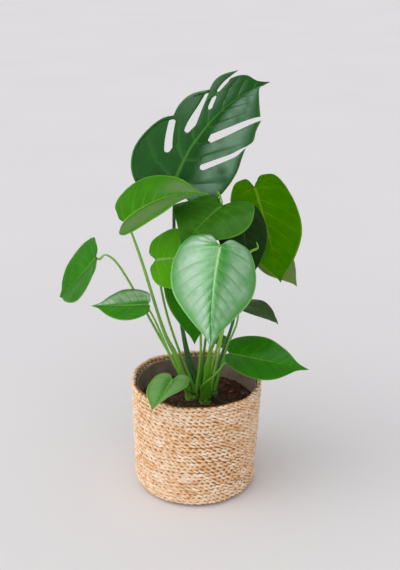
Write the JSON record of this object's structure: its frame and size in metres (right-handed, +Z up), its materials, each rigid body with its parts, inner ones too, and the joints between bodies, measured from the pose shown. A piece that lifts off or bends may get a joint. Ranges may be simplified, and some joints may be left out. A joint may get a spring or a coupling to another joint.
{
  "type": "potted monstera plant",
  "caption": "Young monstera with a split leaf and heart-shaped leaves on arching stalks, rooted in soil in a liner that stands in a round woven basket.",
  "frame": {"origin": "centre of the basket's flat underside, on the surface it stands on", "axes": "+Z up, -Y towards the front, +X to the right as seen from the front"},
  "size_m": [0.3566, 0.3315, 0.5893],
  "materials": {
    "seagrass": "matte",
    "liner_plastic": "satin",
    "soil": "matte",
    "bark": "matte",
    "stem": "satin",
    "petiole": "satin",
    "leaf": "gloss",
    "leaf_young": "gloss",
    "leaf_dark": "gloss"
  },
  "bodies": {
    "root": {"basket": "seagrass", "liner": "liner_plastic", "soil": "soil", "crown_left": "stem", "crown_front": "stem", "crown_right": "stem", "crown_back": "stem", "blade_split_top": "leaf_dark", "petiole_split_top": "petiole", "blade_arched_left": "leaf_young", "petiole_arched_left": "petiole", "blade_hanging_left": "leaf", "petiole_hanging_left": "petiole", "blade_pointing_left": "leaf", "petiole_pointing_left": "petiole", "blade_small_left": "leaf_young", "petiole_small_left": "petiole", "blade_heart_front": "leaf", "petiole_heart_front": "petiole", "blade_under_front": "leaf", "petiole_under_front": "petiole", "blade_saddle_centre": "leaf_dark", "petiole_saddle_centre": "petiole", "blade_tall_right": "leaf_young", "petiole_tall_right": "petiole", "blade_dark_behind": "leaf_dark", "petiole_dark_behind": "petiole", "blade_pale_behind": "leaf_young", "petiole_pale_behind": "petiole", "blade_small_right": "leaf_dark", "petiole_small_right": "petiole", "blade_low_right": "leaf", "petiole_low_right": "petiole", "blade_over_rim": "leaf", "petiole_over_rim": "petiole", "blade_low_behind": "leaf_young", "petiole_low_behind": "petiole", "spear_leaf": "leaf_young", "bark_chip_right": "bark", "bark_chip_left": "bark", "bark_chip_front": "bark"}
  },
  "joints": []
}
